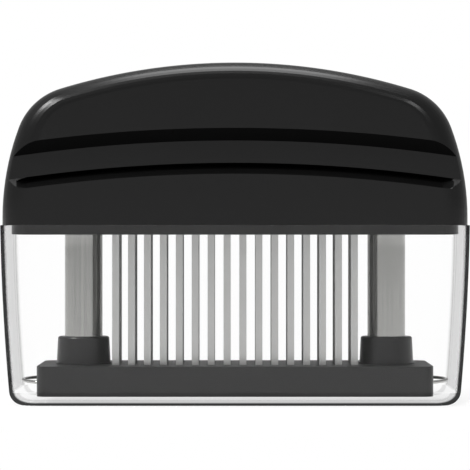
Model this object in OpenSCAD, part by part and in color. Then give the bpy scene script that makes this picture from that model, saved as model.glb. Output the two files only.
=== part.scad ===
// Blade meat tenderizer. Three rows of narrow blades hang from an arched handle. A sprung guard
// on two hollow columns hides their tips, and slides up into the handle when the tool is pressed
// down. The tool stands in a clear tray, whose rim carries the handle.
// X runs along the handle, Y is its depth, and Z is the height over the underside of the tray.

/* [Handle] */
// Length over the widest part of the sides
handle_l = 145.1; // [130:0.1:160]
// Depth from front face to back face
handle_d = 44.4; // [40:0.1:50]
// Height from the bottom edge to the crown
handle_h = 50.7; // [50:0.1:56]
// How far the arched top falls from the crown to the handle's ends
arch_drop = 14.7; // [12:0.1:16]
// Radius of the bulged sides
side_r = 80; // [60:1:120]
// Radius of the shoulders between top and sides
shoulder_r = 20; // [14:0.5:22]
// Height of the widest part over the bottom edge
side_rise = 2.3; // [1:0.1:6]
// Radius of the upright corners, seen from above
corner_r = 8; // [6:0.1:10]
// Height of the rounding between top and faces
top_round = 5.5; // [4:0.1:8]
// Least thickness of the shell over its hollows
shell_wall = 3.5; // [3:0.1:4]

/* [Finger recess] */
// How far the recess and its edges fall from the middle to the handle's ends
recess_drop = 5.5; // [4:0.1:7]
// Height of the upper lip over the bottom edge, at the middle
recess_lip = 30; // [28:0.1:32]
// Height of the slanted face under the upper lip
overhang_h = 3.8; // [3:0.1:5]
// Depth of the flat grip band behind the faces
recess_depth = 3.3; // [2:0.1:4]
// Height of the flat grip band
grip_h = 6.9; // [5:0.1:8]
// Height of the undercut below the grip band
undercut_h = 3.5; // [2.5:0.1:4.5]
// Depth of the undercut behind the grip band
undercut_depth = 3.2; // [1:0.1:3.4]
// Rise of the ledge from the lower lip into the undercut
ledge_rise = 2.8; // [1:0.1:3.2]

/* [Clear cover] */
// Height of the tray
cover_h = 56.2; // [56:0.1:60]
// How far the rim stands outside the handle's sides
cover_lip = 0.7; // [0.4:0.1:1.2]
// Thickness of the walls
cover_wall = 1.6; // [1.2:0.1:1.8]
// Thickness of the floor
cover_floor = 1.5; // [1:0.1:2.5]
// Slope of the end walls at the rim, in millimetres for each millimetre
cover_draft = 0.018; // [0.005:0.001:0.02]
// Slope of the front and back walls, in millimetres for each millimetre
cover_draft_d = 0.025; // [0.01:0.001:0.03]
// Radius of the end walls' bulge
cover_bulge_r = 760; // [700:10:1500]
// Radius of the upright corners
cover_corner_r = 8; // [6:0.1:10]
// Radius of the edge round the floor
cover_edge_r = 4.2; // [3:0.1:4.5]

/* [Handle plate] */
// Thickness of the plate that closes the handle
plate_t = 3.1; // [2.5:0.1:3.6]
// Gap between the plate's ends and the handle's widest part
plate_inset = 2.65; // [2.4:0.05:4]
// Gap between the plate's long edges and the handle's faces
plate_inset_d = 3.2; // [2.4:0.1:4]
// Radius of the plate's corners
plate_corner_r = 6; // [5.5:0.1:8]
// Distance of the screws from the columns' axes, along the handle
screw_out = 13.9; // [12.9:0.1:14.5]
// Distance between the two screws at each end
screw_span = 25; // [22:0.5:26]
// Diameter of the screws' threads
screw_d = 2.9; // [2.5:0.1:3.5]
// Diameter of the screws' heads
screw_head_d = 5.6; // [5:0.1:6.2]
// Length of the screws
screw_l = 14; // [10:0.5:16]

/* [Blades] */
// Distance between neighbouring blades
blade_pitch = 5; // [4:0.05:6]
// Distance between the rows
row_pitch = 8.6; // [7.5:0.1:8.8]
// Width of a blade
blade_w = 2.2; // [1.6:0.1:2.4]
// Thickness of a blade
blade_t = 0.8; // [0.5:0.1:1]
// Height of the slanted cutting tip
blade_bevel = 2.2; // [1:0.1:3]
// Height of the tips over the guard's underside
blade_recess = 2.1; // [1:0.1:4]

/* [Cartridges] */
// Height of the block that holds a row of blades
cartridge_h = 15.8; // [12:0.1:18]
// Depth of the block
cartridge_d = 5.6; // [4.6:0.1:6]
// Depth of the nose that reaches through the plate
nose_d = 3.4; // [2.6:0.1:3.8]
// Length of the block beyond the room for the blades
cartridge_end = 0.6; // [0.4:0.1:0.7]
// Thickness of the block over the blades' roots
root_cover = 2.2; // [1.5:0.1:4]

/* [Columns] */
// Diameter of the columns
column_d = 12; // [11:0.1:12.2]
// Wall of the columns
column_wall = 0.8; // [0.6:0.1:1]
// Distance from the handle's widest part to a column's axis
column_in = 24.45; // [24:0.05:26]
// Distance from a column's axis to the room for the blades
column_out = 9.5; // [9.4:0.1:10]
// How far the guard slides up
guard_travel = 30; // [20:0.5:30.5]
// Wall of the bushes that guide the columns
bush_wall = 1; // [0.8:0.1:1]
// Width of the bushes' flanges beyond their walls
bush_flange = 0.8; // [0.6:0.1:0.9]
// Thickness of the bushes' flanges
bush_flange_t = 2.2; // [1.5:0.1:3]
// Height of the bushes over the plate
bush_h = 4.6; // [3.5:0.1:5]
// Gap between a bush and the stop ring over it, at rest
stop_gap = 0.2; // [0.1:0.05:0.5]
// Thickness of the stop rings
stop_t = 1.2; // [0.8:0.1:1.4]
// How far the stop rings stand out of the columns
stop_proud = 0.8; // [0.5:0.1:0.9]
// Depth of the grooves that the stop rings sit in
stop_groove = 0.35; // [0.2:0.05:0.4]
// Length of the columns over the stop rings
column_tail = 2.2; // [1.5:0.1:3]

/* [Guard] */
// Length of the guard beyond the columns' axes
guard_end = 13.6; // [12.5:0.1:14]
// Gap between the guard's long faces and the handle's faces
guard_inset_d = 3.2; // [3:0.1:5]
// Height of the guard
guard_h = 9.4; // [9:0.1:11]
// Gap between the guard and the cover's floor
guard_gap = 1.4; // [1:0.1:3]
// Radius of the guard's upright corners
guard_corner_r = 3; // [2:0.1:4]
// Height of the collars round the columns
collar_h = 8.7; // [7:0.1:8.9]
// Wall of the collars at their tops
collar_wall = 2.15; // [1.5:0.05:2.3]
// How much thicker the collars are at their feet
collar_flare = 0.45; // [0.2:0.05:0.5]
// Height of the bevel round the collars' tops
collar_bevel = 0.5; // [0.3:0.1:0.8]
// Thickness of the guard under the columns' feet
socket_floor = 1.3; // [1:0.1:2]
// Room round a blade in its slot
slot_room = 0.3; // [0.2:0.05:0.4]

/* [Column feet and clips] */
// Length of the foot below the column
foot_h = 5.3; // [5:0.1:6]
// Length of the foot's spigot inside the column
spigot_h = 5; // [3:0.1:8]
// Diameter of the clips' wire
wire_d = 1.05; // [0.8:0.05:1.2]
// Height of the clips over the guard's underside
clip_rise = 4.3; // [4.1:0.1:4.6]
// How far the clips' bows stand out of the guard
clip_reach = 6.4; // [5:0.1:6.6]
// Radius of the bows
bow_r = 20; // [19:0.5:22]
// Distance from a bow's ends to the guard's long faces
bow_margin = 4.6; // [4:0.1:6]
// Depth of the grooves that the clips' legs lie in
foot_groove = 1.3; // [1.2:0.05:1.5]
// Length of the straight legs beyond a column's axis
leg_past = 5.6; // [3:0.1:5.8]
// Length of the straight legs before a column's axis
leg_before = 5.4; // [3:0.1:6]

/* [Springs] */
// Outer diameter of the springs
spring_d = 9; // [8:0.1:9.2]
// Diameter of the springs' wire
spring_wire = 0.9; // [0.6:0.1:1]
// Number of turns
spring_turns = 14; // [10:1:16]
// Diameter of the posts inside the springs
post_d = 5.2; // [4:0.1:5.8]
// Diameter of the posts' heads
post_head_d = 9.8; // [9.5:0.1:9.9]
// Thickness of the posts' heads
post_head_t = 1.7; // [1:0.1:2.5]

/* [Fits] */
// Radial room of a running or pressed fit
fit_gap = 0.05; // [0.02:0.01:0.1]
// Room round parts that are dropped into place
loose_gap = 0.2; // [0.15:0.05:0.3]

/* [Hidden] */
$fn = 48;
slice_t = 0.01;
cut = 1;
left = -1;
right = 1;
front = -1;
middle = 0;
rear = 1;

// Heights of the parts over the tray's underside
handle_z = cover_h;
handle_top = handle_z + handle_h;
plate_z = handle_z - plate_t;
guard_z = cover_floor + guard_gap;
guard_top = guard_z + guard_h;
collar_top = guard_top + collar_h;
blade_z = guard_z + blade_recess;
cartridge_top = handle_z + cartridge_h;
blade_top = cartridge_top - root_cover;
bush_top = handle_z + bush_h;
stop_z = bush_top + stop_gap;
column_top = stop_z + stop_t + column_tail;
end_room = 0.8;
bore_top = column_top + guard_travel + end_room;
foot_z = guard_z + socket_floor;
column_z = foot_z + foot_h;
spigot_top = column_z + spigot_h;
clip_z = guard_z + clip_rise;

// Places along the handle: as many blades stand between the columns as there is room for
column_x = handle_l / 2 - column_in;
blade_room = 2 * (column_x - column_out);
blade_count = floor((blade_room - blade_w) / blade_pitch + 0.01) + 1;
cartridge_l = blade_room + 2 * cartridge_end;
guard_l = 2 * (column_x + guard_end);
guard_d = handle_d - 2 * guard_inset_d;
plate_l = handle_l - 2 * plate_inset;
plate_d = handle_d - 2 * plate_inset_d;
screw_x = column_x + screw_out;

// Radii round a column
column_r = column_d / 2;
tube_r = column_r - column_wall;
bush_r = column_r + bush_wall;
flange_r = bush_r + bush_flange;
stop_r = column_r + stop_proud;
bore_r = bush_r + loose_gap;
groove_r = column_r - foot_groove;

// Angle over which a clip's bow reaches its ends
bow_angle = asin((guard_d / 2 - bow_margin) / bow_r);

// The handle's outline is three tangent arcs: side, shoulder and top
arch_r = arch_through(arch_drop);
recess_arch_r = arch_through(recess_drop);
arch_c = [0, handle_top - arch_r];
side_c = [handle_l / 2 - side_r, handle_z + side_rise];
shoulder_c = meet(arch_c, arch_r - shoulder_r, side_c, side_r - shoulder_r);
side_end = heading(shoulder_c - side_c);
shoulder_end = heading(shoulder_c - arch_c);
arc_steps = 7;
edge_steps = 4;

function heading(v) = atan2(v[1], v[0]);

// Radius of an arc that falls by drop over half the handle's length
function arch_through(drop) = (handle_l * handle_l / 4 + drop * drop) / (2 * drop);

// Right-hand meeting point of two circles
function meet(c1, r1, c2, r2) =
    let (d = norm(c2 - c1), u = (c2 - c1) / d, a = (r1 * r1 - r2 * r2 + d * d) / (2 * d))
    c1 + a * u + sqrt(r1 * r1 - a * a) * [u[1], -u[0]];

// Point of an arc, drawn in by the share k of the edge rounding
function rim_point(c, r, a, k) =
    c + (r - k * (corner_r * pow(cos(a), 2) + top_round * pow(sin(a), 2))) * [cos(a), sin(a)];

function rim_arc(c, r, a0, a1, k) =
    [for (i = [1:arc_steps]) rim_point(c, r, a0 + (a1 - a0) * i / arc_steps, k)];

function half_outline(k) = concat(
    [[handle_l / 2 - k * corner_r, handle_z], rim_point(side_c, side_r, 0, k)],
    rim_arc(side_c, side_r, 0, side_end, k),
    rim_arc(shoulder_c, shoulder_r, side_end, shoulder_end, k),
    rim_arc(arch_c, arch_r, shoulder_end, 90, k));

function mirrored(half) = concat(half, [for (i = [len(half) - 2:-1:0]) [-half[i][0], half[i][1]]]);

// Half length and half depth that the tray has lost at the height z
function draft_l(z) = let (drop = cover_h - z) cover_draft * drop + drop * drop / (2 * cover_bulge_r);
function draft_d(z) = cover_draft_d * (cover_h - z);

// Slab with the outline in X and Z, between two depths
module upright_slab(outline, y0, y1) {
    translate([0, y1, 0])
        rotate([90, 0, 0])
            linear_extrude(y1 - y0)
                polygon(outline);
}

module rounded_plate(l, d, r, h) {
    linear_extrude(h) {
        square([l - 2 * r, d], center = true);
        square([l, d - 2 * r], center = true);
        for (x = [-1, 1], y = [-1, 1])
            translate([x * (l / 2 - r), y * (d / 2 - r)])
                circle(r);
    }
}

module ring(r_out, r_in, h) {
    difference() {
        cylinder(r = r_out, h = h);
        translate([0, 0, -cut])
            cylinder(r = r_in, h = h + 2 * cut);
    }
}

module at_column(side, z) {
    translate([side * column_x, 0, z])
        children();
}

// One copy at each blade of a row
module each_blade() {
    for (i = [0:blade_count - 1])
        translate([(i - (blade_count - 1) / 2) * blade_pitch, 0, 0])
            children();
}

module each_screw() {
    for (x = [-1, 1], y = [-1, 1])
        translate([x * screw_x, y * screw_span / 2, plate_z])
            children();
}

/* Clear cover */

// Solid of the tray's outside, or of its inside when drawn in by the wall
module tray_solid(inset, floor_z, top_z) {
    edge = cover_edge_r - inset;
    bend = [for (a = [0:30:90]) [floor_z + edge * (1 - sin(a)), inset + edge * (1 - cos(a))]];
    wall = [for (i = [1:4]) [cover_edge_r + (top_z - slice_t - cover_edge_r) * i / 4, inset]];
    hull()
        for (s = concat(bend, wall))
            translate([0, 0, s[0]])
                rounded_plate(
                    handle_l + 2 * (cover_lip - draft_l(s[0]) - s[1]),
                    handle_d + 2 * (cover_lip - draft_d(s[0]) - s[1]),
                    cover_corner_r - inset, slice_t, $fn = 32);
}

module clear_cover() {
    color([0.86, 0.88, 0.88, 0.35])
        difference() {
            tray_solid(0, 0, cover_h);
            tray_solid(cover_wall, cover_floor, cover_h + cut);
        }
}

/* Handle */

module handle_body() {
    hull()
        for (side = [-1, 1], i = [0:edge_steps])
            let (a = 90 * i / edge_steps, y = handle_d / 2 - corner_r * (1 - sin(a)))
                upright_slab(mirrored(half_outline(1 - cos(a))),
                    side * y - slice_t, side * y + slice_t);
}

// Arched recess for the fingers: an overhang, a flat grip band, an undercut and a ledge
module finger_recess() {
    face = handle_d / 2;
    band = recess_arch_r - overhang_h;
    root = band - grip_h;
    lip = root - undercut_h;
    sweep = 2 * asin((handle_l / 2 + cut) / (lip - handle_h));
    translate([0, 0, handle_z + recess_lip - recess_arch_r])
        rotate([90, 0, 0])
            rotate([0, 0, 90 - sweep / 2])
                rotate_extrude(angle = sweep)
                    polygon([
                        [recess_arch_r, face + cut], [recess_arch_r, face],
                        [band, face - recess_depth], [root, face - recess_depth],
                        [lip + ledge_rise, face - recess_depth - undercut_depth],
                        [lip, face], [lip, face + cut]]);
}

// Ribbed hollow over the cartridges, under the arched top
module handle_cores() {
    rib_t = 2;
    ledge_l = 2.4;
    cores = 5;
    steps = 4;
    core_half = cartridge_l / 2 - ledge_l;
    pitch = (2 * core_half + rib_t) / cores;
    core_d = 2 * row_pitch + cartridge_d;
    r = arch_r - shell_wall;
    for (i = [0:cores - 1])
        let (x0 = i * pitch - core_half, core_l = pitch - rib_t)
            upright_slab(concat([[x0, handle_z]],
                [for (j = [0:steps])
                    let (x = x0 + core_l * j / steps) [x, arch_c[1] + sqrt(r * r - x * x)]],
                [[x0 + core_l, handle_z]]), -core_d / 2, core_d / 2);
}

module handle_shell() {
    bay = [cartridge_l + 2 * loose_gap, 2 * row_pitch + cartridge_d + 2 * loose_gap];
    pocket_wall = 1.6;
    pocket_x = column_x + flange_r + pocket_wall;
    pocket_end = handle_l / 2 - shell_wall - pocket_wall;
    pocket_d = 14;
    pocket_h = 20;
    color([0.14, 0.14, 0.145])
        difference() {
            handle_body();
            finger_recess();
            mirror([0, 1, 0])
                finger_recess();
            handle_cores();
            translate([-bay[0] / 2, -bay[1] / 2, handle_z - cut])
                cube([bay[0], bay[1], cartridge_h + loose_gap + cut]);
            for (side = [left, right]) {
                at_column(side, handle_z - cut)
                    cylinder(r = bore_r, h = bore_top - handle_z + cut);
                at_column(side, handle_z - cut)
                    cylinder(r = flange_r + fit_gap, h = bush_flange_t + loose_gap + cut);
                translate([side * (pocket_x + pocket_end) / 2, 0, handle_z + pocket_h / 2 - cut])
                    cube([pocket_end - pocket_x, pocket_d, pocket_h + 2 * cut], center = true);
            }
            each_screw()
                cylinder(r = screw_d / 2 + fit_gap, h = screw_l + loose_gap);
        }
}

module handle_plate() {
    color([0.24, 0.24, 0.24])
        difference() {
            translate([0, 0, plate_z])
                rounded_plate(plate_l, plate_d, plate_corner_r, plate_t);
            for (side = [left, right])
                at_column(side, plate_z - cut)
                    cylinder(r = bush_r + fit_gap, h = plate_t + 2 * cut);
            for (row = [front, middle, rear])
                translate([0, row * row_pitch, plate_z + plate_t / 2])
                    cube([cartridge_l + 2 * fit_gap, nose_d + 2 * fit_gap, plate_t + 2 * cut],
                        center = true);
            each_screw() {
                translate([0, 0, -cut])
                    cylinder(r = screw_d / 2 + fit_gap, h = plate_t + 2 * cut);
                translate([0, 0, -slice_t])
                    screw_head(fit_gap);
            }
        }
}

module screw_head(room) {
    head_r = screw_head_d / 2 + room;
    shank_r = screw_d / 2 + room;
    cylinder(r1 = head_r, r2 = shank_r, h = head_r - shank_r);
}

module plate_screws() {
    recess_d = 2.2;
    recess_h = 1;
    color([0.72, 0.73, 0.74])
        each_screw()
            difference() {
                union() {
                    screw_head(0);
                    cylinder(r = screw_d / 2, h = screw_l);
                }
                translate([0, 0, -slice_t])
                    cylinder(d = recess_d, h = recess_h, $fn = 6);
            }
}

// Flanged bush that guides a column through the plate
module guide_bush(side) {
    color([0.86, 0.85, 0.8])
        difference() {
            union() {
                at_column(side, plate_z)
                    cylinder(r = bush_r, h = bush_top - plate_z);
                at_column(side, handle_z)
                    cylinder(r = flange_r, h = bush_flange_t);
            }
            at_column(side, plate_z - cut)
                cylinder(r = column_r + fit_gap, h = bush_top - plate_z + 2 * cut);
        }
}

// Post that keeps a spring straight, with a head that the spring presses on
module spring_post(side) {
    post_room = 2;
    post_z = spigot_top + guard_travel + post_room;
    color([0.66, 0.67, 0.68]) {
        at_column(side, post_z)
            cylinder(d = post_d, h = bore_top - post_z);
        at_column(side, bore_top - post_head_t)
            cylinder(d = post_head_d, h = post_head_t);
    }
}

/* Blades */

module blade_blank(room) {
    w = blade_w / 2 + room;
    translate([0, blade_t / 2 + room, 0])
        rotate([90, 0, 0])
            linear_extrude(blade_t + 2 * room)
                polygon([
                    [-w, blade_z], [w, blade_z + blade_bevel],
                    [w, blade_top + room], [-w, blade_top + room]]);
}

module blades(row) {
    color([0.64, 0.64, 0.64])
        translate([0, row * row_pitch, 0])
            each_blade()
                blade_blank(0);
}

module cartridge(row) {
    color([0.17, 0.17, 0.17])
        translate([0, row * row_pitch, 0])
            difference() {
                union() {
                    translate([-cartridge_l / 2, -cartridge_d / 2, handle_z])
                        cube([cartridge_l, cartridge_d, cartridge_h]);
                    translate([-cartridge_l / 2, -nose_d / 2, plate_z])
                        cube([cartridge_l, nose_d, plate_t + cut]);
                }
                each_blade()
                    blade_blank(fit_gap);
            }
}

/* Guard */

module guard_base() {
    collar_r = column_r + collar_wall;
    slot_half_d = bow_r * sin(bow_angle) + wire_d;
    slot_h = wire_d + 2 * loose_gap;
    color([0.24, 0.24, 0.24])
        difference() {
            union() {
                translate([0, 0, guard_z])
                    rounded_plate(guard_l, guard_d, guard_corner_r, guard_h);
                for (side = [left, right]) {
                    at_column(side, guard_top - cut)
                        cylinder(r1 = collar_r + collar_flare, r2 = collar_r,
                            h = collar_h - collar_bevel + cut);
                    at_column(side, collar_top - collar_bevel)
                        cylinder(r1 = collar_r, r2 = collar_r - collar_bevel, h = collar_bevel);
                }
            }
            for (side = [left, right]) {
                at_column(side, foot_z)
                    cylinder(r = column_r + fit_gap, h = collar_top - foot_z + cut);
                translate([side * (guard_l / 2 + clip_inner()) / 2, 0, clip_z])
                    cube([guard_l / 2 - clip_inner() + 2 * slice_t, 2 * slot_half_d, slot_h],
                        center = true);
            }
            for (row = [front, middle, rear])
                translate([0, row * row_pitch, guard_z + guard_h / 2])
                    each_blade()
                        cube([blade_w + 2 * slot_room, blade_t + 2 * slot_room, guard_h + 2 * cut],
                            center = true);
        }
}

// Inner end of the slot that a clip slides into
function clip_inner() = column_x - leg_past - wire_d / 2 - loose_gap;

module column(side) {
    color([0.62, 0.62, 0.61])
        difference() {
            at_column(side, column_z)
                ring(column_r, tube_r, column_top - column_z);
            at_column(side, stop_z)
                ring(column_r + cut, column_r - stop_groove, stop_t);
        }
}

module column_stop(side) {
    color([0.5, 0.5, 0.5])
        at_column(side, stop_z)
            ring(stop_r, column_r - stop_groove + fit_gap, stop_t);
}

// Turned foot that closes a column, with the groove for the clip's legs
module column_foot(side) {
    groove_h = wire_d + 2 * loose_gap;
    color([0.6, 0.6, 0.6])
        difference() {
            union() {
                at_column(side, foot_z)
                    cylinder(r = column_r, h = foot_h);
                at_column(side, column_z - cut)
                    cylinder(r = tube_r - fit_gap, h = spigot_h + cut);
            }
            at_column(side, clip_z - groove_h / 2)
                ring(column_r + cut, groove_r, groove_h);
        }
}

module wire_run(from, to) {
    translate([from[0], from[1], 0])
        rotate([0, 90, heading(to - from)])
            cylinder(d = wire_d, h = norm(to - from));
}

module wire_joint(at) {
    translate([at[0], at[1], 0])
        sphere(d = wire_d + slice_t);
}

// Bent wire whose two legs lock a column's foot into the guard
module retaining_clip(side) {
    bow_c = guard_l / 2 + clip_reach - bow_r - wire_d / 2;
    leg_y = groove_r + fit_gap + wire_d / 2;
    bow_end = [bow_c + bow_r * cos(bow_angle), bow_r * sin(bow_angle)];
    leg_end = [column_x + leg_before, leg_y];
    leg_tip = [column_x - leg_past, leg_y];
    color([0.7, 0.7, 0.7])
        scale([side, 1, 1])
            translate([0, 0, clip_z]) {
                translate([bow_c, 0, 0])
                    rotate([0, 0, -bow_angle])
                        rotate_extrude(angle = 2 * bow_angle)
                            translate([bow_r, 0])
                                circle(d = wire_d);
                for (turn = [1, -1])
                    scale([1, turn, 1]) {
                        wire_run(bow_end, leg_end);
                        wire_run(leg_end, leg_tip);
                        wire_joint(bow_end);
                        wire_joint(leg_end);
                        wire_joint(leg_tip);
                    }
            }
}

/* Springs */

// Height of the wire's middle after a number of turns: the end turns are closed
function coil_z(turn) =
    let (closed = 1.2 * spring_wire, open = spring_turns - 2)
    let (rise = spring_h() - spring_wire - 2 * closed)
    turn < 1 ? turn * closed :
    turn < 1 + open ? closed + (turn - 1) * rise / open :
    closed + rise + (turn - 1 - open) * closed;

function spring_h() = bore_top - post_head_t - spigot_top;

module spring(side) {
    steps = 14;
    sides = 6;
    coil_r = (spring_d - spring_wire) / 2;
    count = spring_turns * steps;
    points = [for (i = [0:count], j = [0:sides - 1])
        let (turn = i / steps, a = 360 * turn, b = 360 * j / sides,
            r = coil_r + spring_wire / 2 * cos(b))
        [r * cos(a), r * sin(a), coil_z(turn) + spring_wire / 2 * (1 + sin(b))]];
    skin = [for (i = [0:count - 1], j = [0:sides - 1])
        let (a = i * sides, next = (j + 1) % sides)
        [a + j, a + next, a + sides + next, a + sides + j]];
    caps = [[for (j = [sides - 1:-1:0]) j], [for (j = [0:sides - 1]) count * sides + j]];
    color([0.55, 0.55, 0.56])
        at_column(side, spigot_top)
            polyhedron(points, concat(skin, caps));
}

clear_cover();
handle_shell();
handle_plate();
plate_screws();
guide_bush(left);  // guide_bush_left
guide_bush(right);  // guide_bush_right
spring_post(left);  // spring_post_left
spring_post(right);  // spring_post_right
cartridge(front);  // cartridge_front
cartridge(middle);  // cartridge_middle
cartridge(rear);  // cartridge_rear
blades(front);  // blades_front
blades(middle);  // blades_middle
blades(rear);  // blades_rear
guard_base();
column(left);  // column_left
column(right);  // column_right
column_stop(left);  // column_stop_left
column_stop(right);  // column_stop_right
column_foot(left);  // column_foot_left
column_foot(right);  // column_foot_right
retaining_clip(left);  // retaining_clip_left
retaining_clip(right);  // retaining_clip_right
spring(left);  // spring_left
spring(right);  // spring_right
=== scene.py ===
import math

import bmesh
import bpy
from mathutils import Matrix, Vector


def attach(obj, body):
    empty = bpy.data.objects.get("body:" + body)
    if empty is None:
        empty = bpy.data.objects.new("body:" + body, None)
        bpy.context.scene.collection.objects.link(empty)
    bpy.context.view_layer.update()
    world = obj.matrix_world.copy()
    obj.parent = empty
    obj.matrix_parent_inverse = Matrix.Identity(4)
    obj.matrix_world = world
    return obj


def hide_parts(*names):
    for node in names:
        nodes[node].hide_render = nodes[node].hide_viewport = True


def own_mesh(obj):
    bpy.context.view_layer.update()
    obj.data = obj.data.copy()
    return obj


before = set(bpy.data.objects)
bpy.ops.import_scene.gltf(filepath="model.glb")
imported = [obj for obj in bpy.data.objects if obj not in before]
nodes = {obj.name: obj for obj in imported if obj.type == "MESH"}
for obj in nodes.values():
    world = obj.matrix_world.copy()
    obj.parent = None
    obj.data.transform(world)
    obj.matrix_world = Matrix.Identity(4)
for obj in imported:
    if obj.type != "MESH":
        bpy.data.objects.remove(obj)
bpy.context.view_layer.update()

# Clear cover. One open tray, injection moulded in clear SAN. Its walls lean and bow inwards
# towards a rounded floor, and its rim carries the handle, which simply rests on it.
mm = 0.001
rim_height, rim_x, rim_y = 56.2, 73.25, 22.9
wall, corner_round, floor_round, foot_height = 1.6, 8, 4.2, 5
end_draft, end_bow, side_draft = 0.018, 760, 0.025
levels = range(0, 50, 7)


def start(kind, name, **settings):
    """Adds a primitive, puts its place and size into its mesh and opens it in edit mode."""
    if bpy.context.mode == "EDIT_MESH":
        bpy.ops.object.mode_set(mode="OBJECT")
    bpy.ops.object.select_all(action="DESELECT")
    getattr(bpy.ops.mesh, "primitive_" + kind + "_add")(**settings)
    piece = bpy.context.object
    piece.name = piece.data.name = name
    bpy.ops.object.transform_apply(location=True, rotation=True, scale=True)
    bpy.ops.object.mode_set(mode="EDIT")
    bpy.ops.mesh.select_mode(type="VERT")
    return piece


def block(name, corner, opposite):
    """Adds a cube between two opposite corners, in millimetres."""
    corner, opposite = Vector(corner) * mm, Vector(opposite) * mm
    size = [abs(side) for side in opposite - corner]
    return start("cube", name, size=1, location=(corner + opposite) / 2, scale=size)


def pick(kind, test):
    """Selects what passes the test, which gets its middle in mm and its direction or normal."""
    bpy.ops.mesh.select_mode(type=kind)
    bpy.ops.mesh.select_all(action="DESELECT")
    shape = bmesh.from_edit_mesh(bpy.context.object.data)
    for part in {"VERT": shape.verts, "EDGE": shape.edges, "FACE": shape.faces}[kind]:
        if kind == "EDGE":
            a, b = part.verts[0].co, part.verts[1].co
            middle, way = (a + b) / 2, (b - a).normalized()
        else:
            middle = part.co if kind == "VERT" else part.calc_center_median()
            way = part.normal
        part.select_set(bool(test(middle / mm, way)))
    shape.select_flush_mode()
    bmesh.update_edit_mesh(bpy.context.object.data)


def apply(piece, kind, **settings):
    """Adds a modifier with these settings and applies it."""
    modifier = piece.modifiers.new(kind, kind)
    for name, value in settings.items():
        setattr(modifier, name, value)
    bpy.context.view_layer.objects.active = piece
    bpy.ops.object.modifier_apply(modifier=modifier.name)


def ease(piece, radius, degrees, segments=2):
    """Rounds the edges that turn by more than this angle, to a radius in millimetres."""
    apply(
        piece, "BEVEL", width=radius * mm, segments=segments,
        limit_method="ANGLE", angle_limit=math.radians(degrees),
    )


def smooth(piece, degrees):
    """Shades as one surface what meets at less than this angle."""
    bpy.ops.object.select_all(action="DESELECT")
    piece.select_set(True)
    bpy.context.view_layer.objects.active = piece
    bpy.ops.object.shade_smooth_by_angle(angle=math.radians(degrees))


tray = block("cover_tray", (-rim_x, -rim_y, 0), (rim_x, rim_y, rim_height))
pick("EDGE", lambda at, way: abs(way.z) > 0.9)
bpy.ops.mesh.bevel(offset=corner_round * mm, segments=8)
for level in levels[1:]:
    bpy.ops.mesh.select_all(action="SELECT")
    bpy.ops.mesh.bisect(plane_co=(0, 0, level * mm), plane_no=(0, 0, 1))
for level in levels:
    drop = rim_height - level
    lost = end_draft * drop + drop * drop / (2 * end_bow)
    pick("VERT", lambda at, way: abs(at.z - level) < 0.01)
    bpy.ops.transform.resize(
        value=(1 - lost / rim_x, 1 - side_draft * drop / rim_y, 1),
        center_override=(0, 0, level * mm),
    )
pick("EDGE", lambda at, way: at.z < 0.01)
bpy.ops.mesh.bevel(offset=floor_round * mm, segments=7)
pick("FACE", lambda at, way: way.z > 0.9 and at.z > rim_height - 0.01)
bpy.ops.mesh.delete(type="FACE")
bpy.ops.object.mode_set(mode="OBJECT")
apply(tray, "SOLIDIFY", thickness=wall * mm, offset=-1, use_even_offset=True)
bpy.ops.object.mode_set(mode="EDIT")
pick("VERT", lambda at, way: at.z > rim_height - 1)
bpy.ops.transform.resize(value=(1, 1, 0), center_override=(0, 0, rim_height * mm))
bpy.ops.object.mode_set(mode="OBJECT")
ease(tray, 0.3, 50, segments=3)
smooth(tray, 40)


def colour(code):
    """Turns an sRGB hex value to linear RGBA."""
    parts = [int(code[i : i + 2], 16) / 255 for i in (1, 3, 5)]
    return [c / 12.92 if c <= 0.04045 else ((c + 0.055) / 1.055) ** 2.4 for c in parts] + [1.0]


def open_tree(holder):
    """Empties the node tree of a new material or world and returns it."""
    holder.use_nodes = True
    holder.node_tree.nodes.clear()
    return holder.node_tree


def add(tree, kind, values={}, links={}, **settings):
    """Adds a node with its settings, its sockets' values and the outputs that feed them."""
    node = tree.nodes.new("ShaderNode" + kind)
    for name, value in settings.items():
        setattr(node, name, value)
    for socket, value in values.items():
        node.inputs[socket].default_value = value
    for socket, source in links.items():
        tree.links.new(source, node.inputs[socket])
    return node


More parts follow.
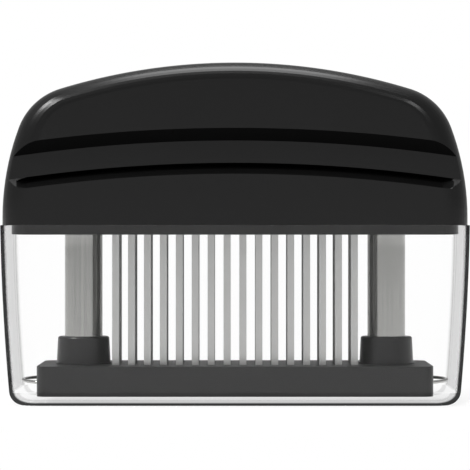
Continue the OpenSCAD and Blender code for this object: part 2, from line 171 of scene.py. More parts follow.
# Clear SAN: water-clear and glossy, with a moulded wall's faint waves two centimetres long. Where
# a skin turns away from the eye its colour is painted: grey on the walls, faintly grey on the
# lining, and a dark painted line round the rounded corners and the foot. The foot is also painted
# a little grey well before its line. This painted shade stands in for the dark room that a thick
# clear wall mirrors and bends at its edges. The foot and its lining are thin to the eye and don't
# bend what is seen. The two numbers are how far a skin turns away, up to 1, where its painted line
# starts and is full.
for skin, bends, first, last, line in (
    ("wall", True, 0.5, 0.8, "#e9e9e9"), ("corner", True, 0.34, 0.5, "#2c2d2d"),
    ("foot", False, 0.34, 0.46, "#2c2d2d"), ("lining", False, 0.5, 0.8, "#fafafa"),
):
    clear_san = bpy.data.materials.new("clear_moulded_san_" + skin)
    tree = open_tree(clear_san)
    place = add(tree, "TexCoord").outputs["Object"]
    waves = add(tree, "TexNoise", {"Scale": 55.0, "Detail": 1.0}, {"Vector": place})
    wavy = add(
        tree, "Bump", {"Strength": 0.2, "Distance": 0.00004}, {"Height": waves.outputs["Fac"]}
    )
    turned_away = add(tree, "LayerWeight", {"Blend": 0.5}, {"Normal": wavy.outputs["Normal"]})
    faint = add(tree, "BsdfTransparent", {"Color": colour("#e9e9e9" if bends else "#fdfdfd")})
    clear = faint
    # Painted shade: the foot greys as it turns away from the eye, ahead of its dark painted line.
    if skin == "foot":
        painted_foot_grey = add(tree, "ValToRGB", links={"Fac": turned_away.outputs["Facing"]})
        stops = zip(painted_foot_grey.color_ramp.elements, (0.16, 0.22), ("#fdfdfd", "#e4e4e4"))
        for point, position, code in stops:
            point.position, point.color = position, colour(code)
        clear = add(tree, "BsdfTransparent", links={"Color": painted_foot_grey.outputs["Color"]})
    if bends:
        clear = add(
            tree, "BsdfPrincipled",
            {"Base Color": colour("#ffffff"), "Roughness": 0.0, "IOR": 1.2,
             "Transmission Weight": 1.0},
            {"Normal": wavy.outputs["Normal"]},
        )
    # The painted line: shade painted where a skin turns away from the eye, in place of the dark
    # room its edge would mirror.
    painted_edge_line = add(tree, "BsdfTransparent", {"Color": colour(line)})
    inside = add(tree, "NewGeometry").outputs["Backfacing"]
    edge = add(tree, "MixShader", links={0: inside, 1: painted_edge_line.outputs[0], 2: faint.outputs[0]})
    share = add(
        tree, "MapRange", {"From Min": first, "From Max": last, "To Max": 0.97},
        {"Value": turned_away.outputs["Facing"]},
    )
    wall_seen = add(
        tree, "MixShader", links={0: share.outputs[0], 1: clear.outputs[0], 2: edge.outputs[0]}
    )
    shadow = add(tree, "BsdfTransparent", {"Color": colour("#f4f4f4")})
    light = add(tree, "LightPath")
    whole = add(
        tree, "MixShader",
        links={0: light.outputs["Is Shadow Ray"], 1: wall_seen.outputs[0], 2: shadow.outputs[0]},
    )
    add(tree, "OutputMaterial", links={"Surface": whole.outputs[0]})
    tray.data.materials.append(clear_san)

# The inner faces look towards the middle of the tray.
wall_skin, corner_skin, foot_skin, lining_skin = range(4)
middle = Vector((0, 0, 30 * mm))
for part in tray.data.polygons:
    inner = part.normal.dot(middle - part.center) > 0
    rounded = min(abs(part.normal.x), abs(part.normal.y)) > 0.1
    if part.center.z < foot_height * mm:
        part.material_index = lining_skin if inner else foot_skin
    else:
        part.material_index = corner_skin if rounded and not inner else wall_skin
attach(tray, "cover")
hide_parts("clear_cover")

# Guard. A charcoal ABS moulding with a collar round each column and a slot for every blade. Its
# edges are broken by the mould, and its ends are slotted for the wire clips.
guard_x, guard_y, guard_bottom, guard_top = 61.7, 19, 2.9, 12.3
column_x, collar_bottom, collar_top = 48.1, 11.3, 21
blade_rows, blade_count, blade_pitch, first_blade = (-8.6, 0, 8.6), 16, 5, -37.5
slot_width, slot_gap, wire_height, wire_room = 2.8, 1.4, 7.2, 0.725


def cut(piece, tool, operation="DIFFERENCE"):
    """Cuts or joins the piece with a tool, which is then removed."""
    if bpy.context.mode == "EDIT_MESH":
        bpy.ops.object.mode_set(mode="OBJECT")
    apply(piece, "BOOLEAN", operation=operation, object=tool, solver="EXACT")
    bpy.data.objects.remove(tool)


def rod(name, x, radius, low, high, top_radius=None, y=0, vertices=64):
    """Adds an upright round bar, or a cone where the top has another radius, in millimetres."""
    return start(
        "cone", name, vertices=vertices, radius1=radius * mm,
        radius2=(radius if top_radius is None else top_radius) * mm,
        location=(x * mm, y * mm, (low + high) / 2 * mm), depth=(high - low) * mm,
    )


def repeat(piece):
    """Repeats the first blade of a row, or its slot, for each of the others."""
    apply(
        piece, "ARRAY", count=blade_count, use_relative_offset=False,
        use_constant_offset=True, constant_offset_displace=(blade_pitch * mm, 0, 0),
    )


guard = block("guard_moulding", (-guard_x, -guard_y, guard_bottom), (guard_x, guard_y, guard_top))
pick("EDGE", lambda at, way: abs(way.z) > 0.9)
bpy.ops.mesh.bevel(offset=3 * mm, segments=6)
for side in (-1, 1):
    x = side * column_x
    collar = rod("collar", x, 8.6, collar_bottom, collar_top, top_radius=8.12)
    pick("EDGE", lambda at, way: at.z > collar_top - 0.01)
    bpy.ops.mesh.bevel(offset=0.7 * mm, segments=4)
    cut(guard, collar, "UNION")
    cut(guard, rod("collar_ring", x, 8.95, collar_bottom, guard_top + 0.45), "UNION")
    cut(guard, rod("bore", x, 6.05, 4.2, collar_top + 1))
    clip_slot = block(
        "clip_slot", (side * 41.8, -15.45, wire_height - wire_room),
        (side * 62, 15.45, wire_height + wire_room),
    )
    cut(guard, clip_slot)
for y in blade_rows:
    slots = block(
        "slots", (first_blade - slot_width / 2, y - slot_gap / 2, 2),
        (first_blade + slot_width / 2, y + slot_gap / 2, 13),
    )
    bpy.ops.object.mode_set(mode="OBJECT")
    repeat(slots)
    cut(guard, slots)
ease(guard, 0.3, 35)
apply(guard, "WEIGHTED_NORMAL", keep_sharp=True)

# Charcoal ABS from a finely spark-eroded mould: even, satin, with a grain of a third of a
# millimetre that only shows close up.
charcoal = bpy.data.materials.new("charcoal_moulded_abs")
tree = open_tree(charcoal)
place = add(tree, "TexCoord").outputs["Object"]
grain = add(tree, "TexNoise", {"Scale": 3000.0, "Detail": 2.0}, {"Vector": place})
clouds = add(tree, "TexNoise", {"Scale": 60.0, "Detail": 2.0}, {"Vector": place})
tone = add(tree, "MapRange", {"To Min": 0.3, "To Max": 0.38}, {"Value": clouds.outputs["Fac"]})
bump = add(tree, "Bump", {"Strength": 0.25, "Distance": 0.00003}, {"Height": grain.outputs["Fac"]})
shader = add(
    tree, "BsdfPrincipled",
    {"Base Color": colour("#131313"), "IOR": 1.53, "Specular IOR Level": 0.46},
    {"Roughness": tone.outputs[0], "Normal": bump.outputs["Normal"]},
)
add(tree, "OutputMaterial", links={"Surface": shader.outputs[0]})
guard.data.materials.append(charcoal)

# The top, which the mould leaves rougher, stays duller when it is seen along its surface.
charcoal_dull = charcoal.copy()
charcoal_dull.name = "charcoal_eroded_abs"
for node in charcoal_dull.node_tree.nodes:
    if node.type == "BSDF_PRINCIPLED":
        node.inputs["Specular IOR Level"].default_value = 0.4
    if node.type == "MAP_RANGE":
        node.inputs["To Min"].default_value, node.inputs["To Max"].default_value = 0.42, 0.5
guard.data.materials.append(charcoal_dull)
for part in guard.data.polygons:
    above = part.center.z / mm - guard_top
    part.material_index = int(part.normal.z > 0.9 and -0.3 < above < 0.2)
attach(guard, "guard")
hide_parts("guard_base")

# Columns. Drawn stainless tube, brushed along its length, pressed on turned feet in the guard.
# The draw marks run upright, so they show as streaks half a millimetre wide, side by side.
drawn_tube = bpy.data.materials.new("drawn_stainless_tube")
tree = open_tree(drawn_tube)
place = add(tree, "TexCoord").outputs["Object"]
stretched = add(tree, "Mapping", {"Scale": (1800, 1800, 12)}, {"Vector": place})
streaks = add(tree, "TexNoise", {"Scale": 1.0, "Detail": 3.0}, {"Vector": stretched.outputs[0]})
tone = add(tree, "MapRange", {"To Min": 0.13, "To Max": 0.21}, {"Value": streaks.outputs["Fac"]})
tint = add(tree, "ValToRGB", links={"Fac": streaks.outputs["Fac"]})
for point, position, code in zip(tint.color_ramp.elements, (0.3, 0.7), ("#9c9c9a", "#ababa8")):
    point.position, point.color = position, colour(code)
bump = add(
    tree, "Bump", {"Strength": 0.15, "Distance": 0.00001}, {"Height": streaks.outputs["Fac"]}
)
shader = add(
    tree, "BsdfPrincipled", {"Metallic": 1.0},
    {"Base Color": tint.outputs[0], "Roughness": tone.outputs[0],
     "Normal": bump.outputs["Normal"]},
)
add(tree, "OutputMaterial", links={"Surface": shader.outputs[0]})
for side in ("left", "right"):
    nodes["column_" + side].material_slots[0].material = drawn_tube

# Turned feet, stop rings and spring posts. Bright stainless from the lathe, whose feed leaves
# rings half a millimetre apart round each axis. They are hidden once the tool is closed.
turned = bpy.data.materials.new("turned_stainless")
tree = open_tree(turned)
place = add(tree, "TexCoord").outputs["Object"]
rings = add(
    tree, "TexWave", {"Scale": 640.0, "Distortion": 0.4}, {"Vector": place}, bands_direction="Z"
)
bump = add(tree, "Bump", {"Strength": 0.2, "Distance": 0.00001}, {"Height": rings.outputs["Fac"]})
shader = add(
    tree, "BsdfPrincipled", {"Base Color": colour("#c9c9c8"), "Metallic": 1.0, "Roughness": 0.25},
    {"Normal": bump.outputs["Normal"]},
)
add(tree, "OutputMaterial", links={"Surface": shader.outputs[0]})
for part in ("column_stop", "column_foot", "spring_post"):
    for side in ("left", "right"):
        nodes[part + "_" + side].material_slots[0].material = turned

# Retaining clips. Hard stainless wire, bent into a bow whose two legs run in past the column and
# lock its foot. The bow stands out of the guard's end as a finger pull. The wire is bright, with
# scuffs a millimetre long that break up its gleam.
wire_gauge, wire_bend, leg_end, leg_y, elbow_x = 1.05, 1.6, 42.5, 5.275, 53.5
bow_centre, bow_radius, bow_y = 47.575, 20, 14.4
bright_wire = bpy.data.materials.new("bright_spring_wire")
tree = open_tree(bright_wire)
place = add(tree, "TexCoord").outputs["Object"]
scuff = add(tree, "TexNoise", {"Scale": 900.0, "Detail": 3.0}, {"Vector": place})
tone = add(tree, "MapRange", {"To Min": 0.16, "To Max": 0.26}, {"Value": scuff.outputs["Fac"]})
shader = add(
    tree, "BsdfPrincipled", {"Base Color": colour("#bcbcba"), "Metallic": 1.0},
    {"Roughness": tone.outputs[0]},
)
add(tree, "OutputMaterial", links={"Surface": shader.outputs[0]})


def draw_out(step):
    """Extrudes what is selected by this step."""
    bpy.ops.mesh.extrude_region_move(TRANSFORM_OT_translate={"value": step})


def chain(name, points):
    """Draws one vertex out along the points, in millimetres, and leaves the last one selected."""
    piece = start("plane", name, size=mm, location=Vector(points[0]) * mm)
    bpy.ops.mesh.merge(type="CENTER")
    for a, b in zip(points, points[1:]):
        draw_out((Vector(b) - Vector(a)) * mm)
    return piece


def wire(piece, diameter):
    """Turns a run of edges into a round wire of this diameter, in millimetres."""
    bpy.ops.object.mode_set(mode="OBJECT")
    bpy.ops.object.convert(target="CURVE")
    piece.data.bevel_depth = diameter / 2 * mm
    piece.data.bevel_resolution = 2
    piece.data.use_fill_caps = True
    bpy.ops.object.convert(target="MESH")
    smooth(piece, 60)


bow_turn = math.asin(bow_y / bow_radius)
bow_end = bow_centre + bow_radius * math.cos(bow_turn)
path = [(leg_end, leg_y), (elbow_x, leg_y), (bow_end, bow_y)]
for side, name in ((-1, "left"), (1, "right")):
    clip = chain("clip_" + name, [(side * x, y, wire_height) for x, y in path])
    bpy.ops.mesh.spin(
        steps=18, angle=side * 2 * bow_turn, axis=(0, 0, 1),
        center=(side * bow_centre * mm, 0, wire_height * mm),
    )
    for a, b in ((2, 1), (1, 0)):
        step_x, step_y = side * (path[b][0] - path[a][0]), path[a][1] - path[b][1]
        draw_out(Vector((step_x, step_y, 0)) * mm)
    pick(
        "VERT",
        lambda at, way: abs(abs(at.x) - elbow_x) < 0.01 or abs(abs(at.y) - bow_y) < 0.01,
    )
    bpy.ops.mesh.bevel(offset=wire_bend * mm, segments=5, affect="VERTICES")
    wire(clip, wire_gauge)
    clip.data.materials.append(bright_wire)
    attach(clip, "guard")
    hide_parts("retaining_clip_" + name)

# Blades. Sixteen narrow strips of ground stainless in each of three rows, with slanted tips that
# are thinned on both faces to cut through the meat's fibres.
blade_width, blade_gauge, blade_top = 2.2, 0.8, 69.8
tip_bottom, tip_grind, tip_thinning = 5, 2, 0.12
left, right = first_blade - blade_width / 2, first_blade + blade_width / 2
front, back = blade_rows[0] - blade_gauge / 2, blade_rows[0] + blade_gauge / 2
blade = block("blade_row_front", (left, front, tip_bottom), (right, back, blade_top))
pick("VERT", lambda at, way: at.z < tip_bottom + 1 and at.x > first_blade)
bpy.ops.transform.translate(value=(0, 0, blade_width * mm))
bpy.ops.mesh.select_all(action="SELECT")
bpy.ops.mesh.bisect(plane_co=(left * mm, 0, (tip_bottom + tip_grind) * mm), plane_no=(-1, 0, 1))
pick(
    "VERT",
    lambda at, way: at.z < tip_bottom + 0.01 or abs(at.z - tip_bottom - blade_width) < 0.01,
)
bpy.ops.transform.resize(value=(1, tip_thinning, 1), center_override=(0, blade_rows[0] * mm, 0))
bpy.ops.object.mode_set(mode="OBJECT")
ease(blade, 0.06, 60, segments=1)
repeat(blade)

# Ground strip steel: dull silver, with scratches a quarter of a millimetre wide along the strip.
ground_strip = bpy.data.materials.new("ground_stainless_strip")
tree = open_tree(ground_strip)
place = add(tree, "TexCoord").outputs["Object"]
stretched = add(tree, "Mapping", {"Scale": (4000, 4000, 60)}, {"Vector": place})
scratches = add(tree, "TexNoise", {"Scale": 1.0, "Detail": 2.0}, {"Vector": stretched.outputs[0]})
tone = add(tree, "MapRange", {"To Min": 0.28, "To Max": 0.42}, {"Value": scratches.outputs["Fac"]})
bump = add(
    tree, "Bump", {"Strength": 0.15, "Distance": 0.00001}, {"Height": scratches.outputs["Fac"]}
)
shader = add(
    tree, "BsdfPrincipled", {"Base Color": colour("#c4c4c3"), "Metallic": 1.0},
    {"Roughness": tone.outputs[0], "Normal": bump.outputs["Normal"]},
)
add(tree, "OutputMaterial", links={"Surface": shader.outputs[0]})
blade.data.materials.append(ground_strip)

# Painted shade: the faces that look into the pack, where the rows shade one another, get a darker
# copy of the steel.
painted_shade_strip = ground_strip.copy()
painted_shade_strip.name = "stainless_strip_painted_shade"
for node in painted_shade_strip.node_tree.nodes:
    if node.type == "BSDF_PRINCIPLED":
        # The steel's colour darkened as painted shade.
        node.inputs["Base Color"].default_value = colour("#8a8a89")
blade.data.materials.append(painted_shade_strip)
for row, y in zip(("middle", "rear"), blade_rows[1:]):
    strips = blade.copy()
    strips.data = blade.data.copy()
    strips.name = strips.data.name = "blade_row_" + row
    bpy.context.collection.objects.link(strips)
    strips.data.transform(Matrix.Translation((0, (y - blade_rows[0]) * mm, 0)))
for row in ("front", "middle", "rear"):
    strips = bpy.data.objects["blade_row_" + row]
    for part in strips.data.polygons:
        # Painted shade on the front row's backs, the whole middle row and the rear row's fronts.
        painted_shade_faces = {"front": part.normal.y > 0.5, "middle": True, "rear": part.normal.y < -0.5}
        part.material_index = int(painted_shade_faces[row])
    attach(strips, "handle")
    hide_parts("blades_" + row)

# Cartridges. Black acetal blocks moulded round the roots of the blades, one for each row. Only
# their noses show, in the slots of the handle plate: matt black, with a half-millimetre mottle.
acetal_black = bpy.data.materials.new("black_moulded_acetal")
tree = open_tree(acetal_black)
place = add(tree, "TexCoord").outputs["Object"]
grain = add(tree, "TexNoise", {"Scale": 2000.0, "Detail": 2.0}, {"Vector": place})
tone = add(tree, "MapRange", {"To Min": 0.4, "To Max": 0.5}, {"Value": grain.outputs["Fac"]})
shader = add(
    tree, "BsdfPrincipled", {"Base Color": colour("#161616"), "IOR": 1.48},
    {"Roughness": tone.outputs[0]},
)
add(tree, "OutputMaterial", links={"Surface": shader.outputs[0]})
for row in ("front", "middle", "rear"):
    nodes["cartridge_" + row].material_slots[0].material = acetal_black

# Handle plate. A flat ABS moulding that closes the handle and locates the tool in the cover's
# mouth. It is pierced for the bushes, the cartridges' noses and four countersunk screws.
plate_x, plate_y, plate_bottom = 69.9, 19, 53.1
screw_x, screw_y, screw_radius = 62, 12.5, 1.5
below, above = 52, 57
plate = block("plate_moulding", (-plate_x, -plate_y, plate_bottom), (plate_x, plate_y, rim_height))
pick("EDGE", lambda at, way: abs(way.z) > 0.9)
bpy.ops.mesh.bevel(offset=6 * mm, segments=8)
for x in (-column_x, column_x):
    cut(plate, rod("bush_hole", x, 7.05, below, above))
for y in blade_rows:
    cut(plate, block("nose_slot", (-39.25, y - 1.75, below), (39.25, y + 1.75, above)))
for x in (-screw_x, screw_x):
    for y in (-screw_y, screw_y):
        cut(plate, rod("screw_hole", x, screw_radius, below, above, y=y, vertices=32))
        cut(plate, rod("countersink", x, 2.86, 53.09, 54.45, screw_radius, y=y, vertices=32))
ease(plate, 0.15, 60)
apply(plate, "WEIGHTED_NORMAL", keep_sharp=True)
plate.data.materials.append(charcoal)
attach(plate, "handle")
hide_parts("handle_plate")
nodes["plate_screws"].material_slots[0].material = turned

# Bushes. Turned from natural acetal, one round each column, with a flange held between the plate
# and the handle. Acetal is smooth, waxy and slightly see-through at its edges, and the lathe's
# faint rings are under a millimetre apart.
acetal = bpy.data.materials.new("natural_acetal")
tree = open_tree(acetal)
place = add(tree, "TexCoord").outputs["Object"]
rings = add(
    tree, "TexWave", {"Scale": 400.0, "Distortion": 0.5}, {"Vector": place}, bands_direction="Z"
)
bump = add(tree, "Bump", {"Strength": 0.1, "Distance": 0.00002}, {"Height": rings.outputs["Fac"]})
shader = add(
    tree, "BsdfPrincipled",
    {"Base Color": colour("#dedbd0"), "IOR": 1.48, "Roughness": 0.35, "Subsurface Weight": 0.15,
     "Subsurface Scale": 0.001},
    {"Normal": bump.outputs["Normal"]},
)
add(tree, "OutputMaterial", links={"Surface": shader.outputs[0]})
for side in ("left", "right"):
    nodes["guide_bush_" + side].material_slots[0].material = acetal

# Springs. One coil of hard wire in each column, between the foot's spigot and the post's head.
# The end turns are closed, so they lie flat.
spring_bottom, spring_top, coil_radius, gauge = 14.5, 93.5, 4.05, 0.9
turns, steps, travel = 14, 16, 30
spring_length = spring_top - spring_bottom


def coil_height(turn):
    """Height of the wire's middle after this many turns."""
    closed = 1.2 * gauge
    rise = (spring_length - gauge - 2 * closed) / (turns - 2)
    low = spring_bottom + gauge / 2
    if turn < 1:
        return low + turn * closed
    return low + closed + min(turn - 1, turns - 2) * rise + max(turn - turns + 1, 0) * closed


for side, name in ((-1, "left"), (1, "right")):
    coil = chain("spring_coil_" + name, [(coil_radius, 0, 0)])
    bpy.ops.object.mode_set(mode="OBJECT")
    apply(
        coil, "SCREW", angle=2 * math.pi, iterations=turns, steps=steps, render_steps=steps,
        screw_offset=mm,
    )
    for point in coil.data.vertices:
        point.co.z = coil_height(point.index / steps) * mm
        point.co.x += side * column_x * mm
    wire(coil, gauge)
    coil.data.materials.append(bright_wire)
    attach(coil, "handle")
    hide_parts("spring_" + name)
    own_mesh(coil)

# Handle. One black ABS moulding: an arched grip with rounded shoulders and a long finger recess
# on each face. The recess is an overhang, a flat band, an undercut and a ledge.
handle_top, half_length, face, plan_round, top_round = 106.9, 72.55, 22.2, 8, 5.5
arch_rise, side_radius, side_bottom, shoulder_radius = 14.7, 80, 58.5, 20
recess_top, recess_rise, sweep = 86.2, 5.5, 10
band_depth, ledge_depth, undercut_depth = 3.3, 2.6, 6.5
core_x, core_count, rib, top_wall = 36.8, 5, 2, 3.5

# The outline is three arcs, and the shoulder's touches both the side's and the arch's. Its centre
# lies where two circles cross, each smaller than its arc by the shoulder's radius.
arch_radius = (half_length**2 + arch_rise**2) / (2 * arch_rise)
arch_centre = Vector((0, 0, handle_top - arch_radius))
side_centre = Vector((half_length - side_radius, 0, side_bottom))
apart = side_centre - arch_centre
arch_reach, side_reach = arch_radius - shoulder_radius, side_radius - shoulder_radius
along = (arch_reach**2 - side_reach**2 + apart.length**2) / (2 * apart.length)
across = math.sqrt(arch_reach**2 - along**2)
way = apart.normalized()
shoulder_centre = arch_centre + along * way + across * Vector((way.z, 0, -way.x))
side_turn = math.atan2(shoulder_centre.z - side_centre.z, shoulder_centre.x - side_centre.x)
arch_turn = math.atan2(shoulder_centre.z - arch_centre.z, shoulder_centre.x - arch_centre.x)

corner = (half_length, -face, rim_height)
handle = chain("handle_moulding", [corner, (half_length, -face, side_bottom)])
rising = [(side_centre, side_turn, 10), (shoulder_centre, arch_turn - side_turn, 24)]
crest = [(arch_centre, math.pi - 2 * arch_turn, 48)]
falling = [(Vector((-c.x, 0, c.z)), turn, count) for c, turn, count in reversed(rising)]
for centre, turn, count in rising + crest + falling:
    bpy.ops.mesh.spin(steps=count, angle=turn, center=centre * mm, axis=(0, 1, 0))
draw_out((0, 0, (rim_height - side_bottom) * mm))
bpy.ops.mesh.select_all(action="SELECT")
bpy.ops.mesh.remove_doubles(threshold=0.001 * mm)
bpy.ops.mesh.edge_face_add()
draw_out((0, 2 * face * mm, 0))
bpy.ops.mesh.select_all(action="SELECT")
bpy.ops.mesh.normals_make_consistent(inside=False)

# The moulding is stretched while its edges are rounded, so the round is flatter than it is wide.
base = (0, 0, rim_height * mm)
bpy.ops.transform.resize(value=(1, 1, plan_round / top_round), center_override=base)
pick("EDGE", lambda at, way: abs(way.y) < 0.1 and at.z > rim_height + 0.1)
bpy.ops.mesh.bevel(offset=plan_round * mm, segments=10)
bpy.ops.mesh.select_all(action="SELECT")
bpy.ops.transform.resize(value=(1, 1, top_round / plan_round), center_override=base)
bpy.ops.object.mode_set(mode="OBJECT")

# A recess is cut by its profile, given as (down from its top, in from the face), swept along the
# grip in runs of (steps, degrees, change of depth). The undercut is sunk after a first short run
# and comes up again before the last, so it stops short of the handle's ends.
recess_radius = (half_length**2 + recess_rise**2) / (2 * recess_rise)
recess_centre = Vector((0, 0, recess_top - recess_radius))
sweep_start = Vector((math.sin(math.radians(sweep)), 0, math.cos(math.radians(sweep))))
profile = [
    (0, -1), (0, 0), (3.8, band_depth), (10.7, band_depth), (11.4, ledge_depth), (14.2, 0),
    (14.2, -1),
]
sink = (undercut_depth - ledge_depth) * mm
runs = [(5, 1.7, 0), (1, 0.4, sink), (30, 15.8, 0), (1, 0.4, -sink), (5, 1.7, 0)]
for side in (-1, 1):
    points = [
        recess_centre
        + (recess_radius - down) * sweep_start
        + Vector((0, side * (face - deep), 0))
        for down, deep in profile
    ]
    recess = chain("recess", points)
    bpy.ops.mesh.select_all(action="SELECT")
    bpy.ops.mesh.edge_face_add()
    for count, turn, deeper in runs:
        bpy.ops.mesh.spin(
            steps=count, angle=math.radians(turn), center=recess_centre * mm, axis=(0, 1, 0)
        )
        before = (ledge_depth if deeper > 0 else undercut_depth) * mm
        for point in bmesh.from_edit_mesh(recess.data).verts:
            depth = face * mm - abs(point.co.y)
            if point.select and deeper and abs(depth - before) < 0.01 * mm:
                point.co.y -= side * deeper
    bpy.ops.mesh.select_all(action="SELECT")
    bpy.ops.mesh.normals_make_consistent(inside=False)
    cut(handle, recess)

# Inside, the moulding is cored out from below: a bay for the cartridges, five cores that leave
# ribs between them and follow the arch, and a bore, a pocket and pilot holes at each end.
under = 55
cut(handle, block("cartridge_bay", (-39.4, -11.6, under), (39.4, 11.6, 72.2)))
core_pitch = (2 * core_x + rib) / core_count
for i in range(core_count):
    left = i * core_pitch - core_x
    core = block("core", (left, -11.4, 71), (left + core_pitch - rib, 11.4, 100))
    pick("VERT", lambda at, way: at.z > 99)
    for point in bmesh.from_edit_mesh(core.data).verts:
        if point.select:
            height = math.sqrt((arch_radius - top_wall) ** 2 - (point.co.x / mm) ** 2)
            point.co.z = arch_centre.z * mm + height * mm
    cut(handle, core)
for side in (-1, 1):
    cut(handle, rod("bore", side * column_x, 7.2, under, 95.2))
    cut(handle, rod("flange_seat", side * column_x, 7.85, under, 58.6))
    cut(handle, block("pocket", (side * 57.5, -7, under), (side * 67.45, 7, 75.2)))
    for y in (-screw_y, screw_y):
        cut(handle, rod("pilot_hole", side * screw_x, screw_radius, under, 67.3, y=y, vertices=24))
ease(handle, 0.22, 32)
apply(handle, "WEIGHTED_NORMAL", keep_sharp=True)

# Black ABS, polished mould: deep black with a soft sheen. The plastic's faint flow, three
# centimetres long, and a grain of under half a millimetre break up the reflections.
black_abs = bpy.data.materials.new("black_moulded_abs")
tree = open_tree(black_abs)
place = add(tree, "TexCoord").outputs["Object"]
grain = add(tree, "TexNoise", {"Scale": 2600.0, "Detail": 2.0}, {"Vector": place})
clouds = add(tree, "TexNoise", {"Scale": 35.0, "Detail": 3.0}, {"Vector": place})
tone = add(tree, "MapRange", {"To Min": 0.22, "To Max": 0.28}, {"Value": clouds.outputs["Fac"]})
bump = add(tree, "Bump", {"Strength": 0.15, "Distance": 0.00002}, {"Height": grain.outputs["Fac"]})
shader = add(
    tree, "BsdfPrincipled",
    {"Base Color": colour("#0a0a0a"), "IOR": 1.53, "Specular IOR Level": 0.32},
    {"Roughness": tone.outputs[0], "Normal": bump.outputs["Normal"]},
)
add(tree, "OutputMaterial", links={"Surface": shader.outputs[0]})
handle.data.materials.append(black_abs)

# Painted shade: the recess's undersides get a rough, matt, near-black plastic with a coarser grain
# and almost no sheen, so they show black as deep shade.
black_painted_shade = bpy.data.materials.new("black_abs_painted_shade")
tree = open_tree(black_painted_shade)
place = add(tree, "TexCoord").outputs["Object"]
grain = add(tree, "TexNoise", {"Scale": 2600.0, "Detail": 2.0}, {"Vector": place})
tone = add(tree, "MapRange", {"To Min": 0.6, "To Max": 0.8}, {"Value": grain.outputs["Fac"]})
bump = add(tree, "Bump", {"Strength": 0.4, "Distance": 0.00004}, {"Height": grain.outputs["Fac"]})
shader = add(
    tree, "BsdfPrincipled",
    {"Base Color": colour("#030303"), "IOR": 1.53, "Specular IOR Level": 0.05},
    {"Roughness": tone.outputs[0], "Normal": bump.outputs["Normal"]},
)
add(tree, "OutputMaterial", links={"Surface": shader.outputs[0]})
handle.data.materials.append(black_painted_shade)
# Painted shade on the recess's downward faces, high on the handle and near its two faces.
for part in handle.data.polygons:
    painted_shade_underside = part.normal.z < -0.4 and part.center.z > 65 * mm
    part.material_index = int(painted_shade_underside and abs(part.center.y) > 15 * mm)
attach(handle, "handle")
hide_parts("handle_shell")

# Floor. A pale plain sheet that the cover stands on. It keeps the cover's shadow, which fades into
# plain white within nine centimetres in front of it, and runs out to the white backdrop.
bpy.ops.object.select_all(action="DESELECT")
bpy.ops.mesh.primitive_plane_add(size=120, location=(0, 0, -0.00002))
ground = bpy.context.object
ground.name = "floor"
paper = bpy.data.materials.new("white_paper")
tree = open_tree(paper)
light = add(tree, "LightPath")
seen = add(
    tree, "Math", links={0: light.outputs["Is Camera Ray"], 1: light.outputs["Is Glossy Ray"]},
    operation="MAXIMUM",
)
seen = add(
    tree, "Math", links={0: seen.outputs[0], 1: light.outputs["Is Transmission Ray"]},
    operation="MAXIMUM",
)
place = add(tree, "TexCoord").outputs["Object"]
flat = add(tree, "Mapping", {"Scale": (0.4, 1, 1)}, {"Vector": place})
away = add(tree, "VectorMath", links={0: flat.outputs[0]}, operation="LENGTH")
share = add(
    tree, "MapRange", {"From Min": 0.02, "From Max": 0.11, "To Min": 0.78, "To Max": 1.0},
    {"Value": away.outputs["Value"]},
)
share = add(tree, "Math", links={0: seen.outputs[0], 1: share.outputs[0]}, operation="MULTIPLY")
diffuse = add(tree, "BsdfDiffuse", {"Color": colour("#e8e8e8")})
white = add(tree, "Emission", {"Color": colour("#ffffff"), "Strength": 1.0})
mixed = add(
    tree, "MixShader", links={0: share.outputs[0], 1: diffuse.outputs[0], 2: white.outputs[0]}
)
add(tree, "OutputMaterial", links={"Surface": mixed.outputs[0]})
ground.data.materials.append(paper)

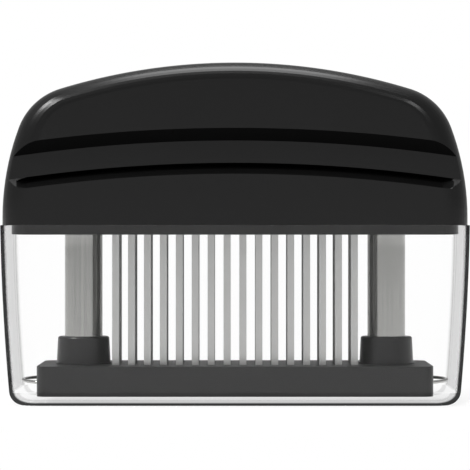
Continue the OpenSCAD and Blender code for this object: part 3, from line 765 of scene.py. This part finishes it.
# Studio. A white backdrop behind the object, a dimmer room in front of it, one broad softbox
# overhead, a smaller one in front of its left shoulder and a weak one in front of its right.
# Shiny surfaces mirror full white from straight behind alone, and scattered light is half white.
world = bpy.data.worlds.new("studio")
bpy.context.scene.world = world
tree = open_tree(world)
light = add(tree, "LightPath")
direction = add(tree, "TexCoord").outputs["Generated"]
behind = add(tree, "SeparateXYZ", links={0: direction}).outputs["Y"]
fall = add(
    tree, "MapRange", {"From Min": 0.975, "From Max": 0.995, "To Min": 0.36, "To Max": 1.0},
    {"Value": behind},
)
room = add(tree, "Background", {"Color": colour("#ffffff"), "Strength": 0.5})
mirrored = add(tree, "Background", {"Color": colour("#ffffff")}, {"Strength": fall.outputs[0]})
backdrop = add(tree, "Background", {"Color": colour("#ffffff"), "Strength": 1.0})
bounced = add(
    tree, "Math", {1: 0.5}, {0: light.outputs["Glossy Depth"]}, operation="GREATER_THAN"
)
scattered = add(
    tree, "Math", {1: 0.5}, {0: light.outputs["Diffuse Depth"]}, operation="GREATER_THAN"
)
seen = add(
    tree, "MixShader",
    links={0: bounced.outputs[0], 1: backdrop.outputs[0], 2: mirrored.outputs[0]},
)
whole = add(
    tree, "MixShader", links={0: scattered.outputs[0], 1: seen.outputs[0], 2: room.outputs[0]}
)
add(tree, "OutputWorld", links={"Surface": whole.outputs[0]})

for name, stand, width, depth, power in (
    ("softbox", (0, 0.06, 1.0), 0.5, 0.75, 5.3),
    ("side_box", (-0.65, -0.37, 0.87), 0.22, 0.22, 10.5),
    ("fill_box", (0.39, -0.84, 0.6), 0.14, 0.14, 0.7),
):
    bpy.ops.object.light_add(type="AREA", location=stand)
    lamp = bpy.context.object
    lamp.name = name
    lamp.data.shape = "RECTANGLE"
    lamp.data.size = width
    lamp.data.size_y = depth
    lamp.data.energy = power
    aim = Vector((0, 0, 0.06)) - Vector(stand)
    lamp.rotation_euler = aim.to_track_quat("-Z", "Y").to_euler()
    lamp.visible_camera = False

# Camera. A long lens level with the underside of the handle plate and square to the front, three
# quarters of a metre away.
bpy.ops.object.camera_add(location=(0, -0.748, 0.0531), rotation=(math.pi / 2, 0, 0))
camera = bpy.context.object
camera.data.lens = 180.1
camera.data.sensor_width = 36
camera.data.clip_start = 0.01
bpy.context.scene.camera = camera
bpy.context.scene.view_settings.view_transform = "Standard"
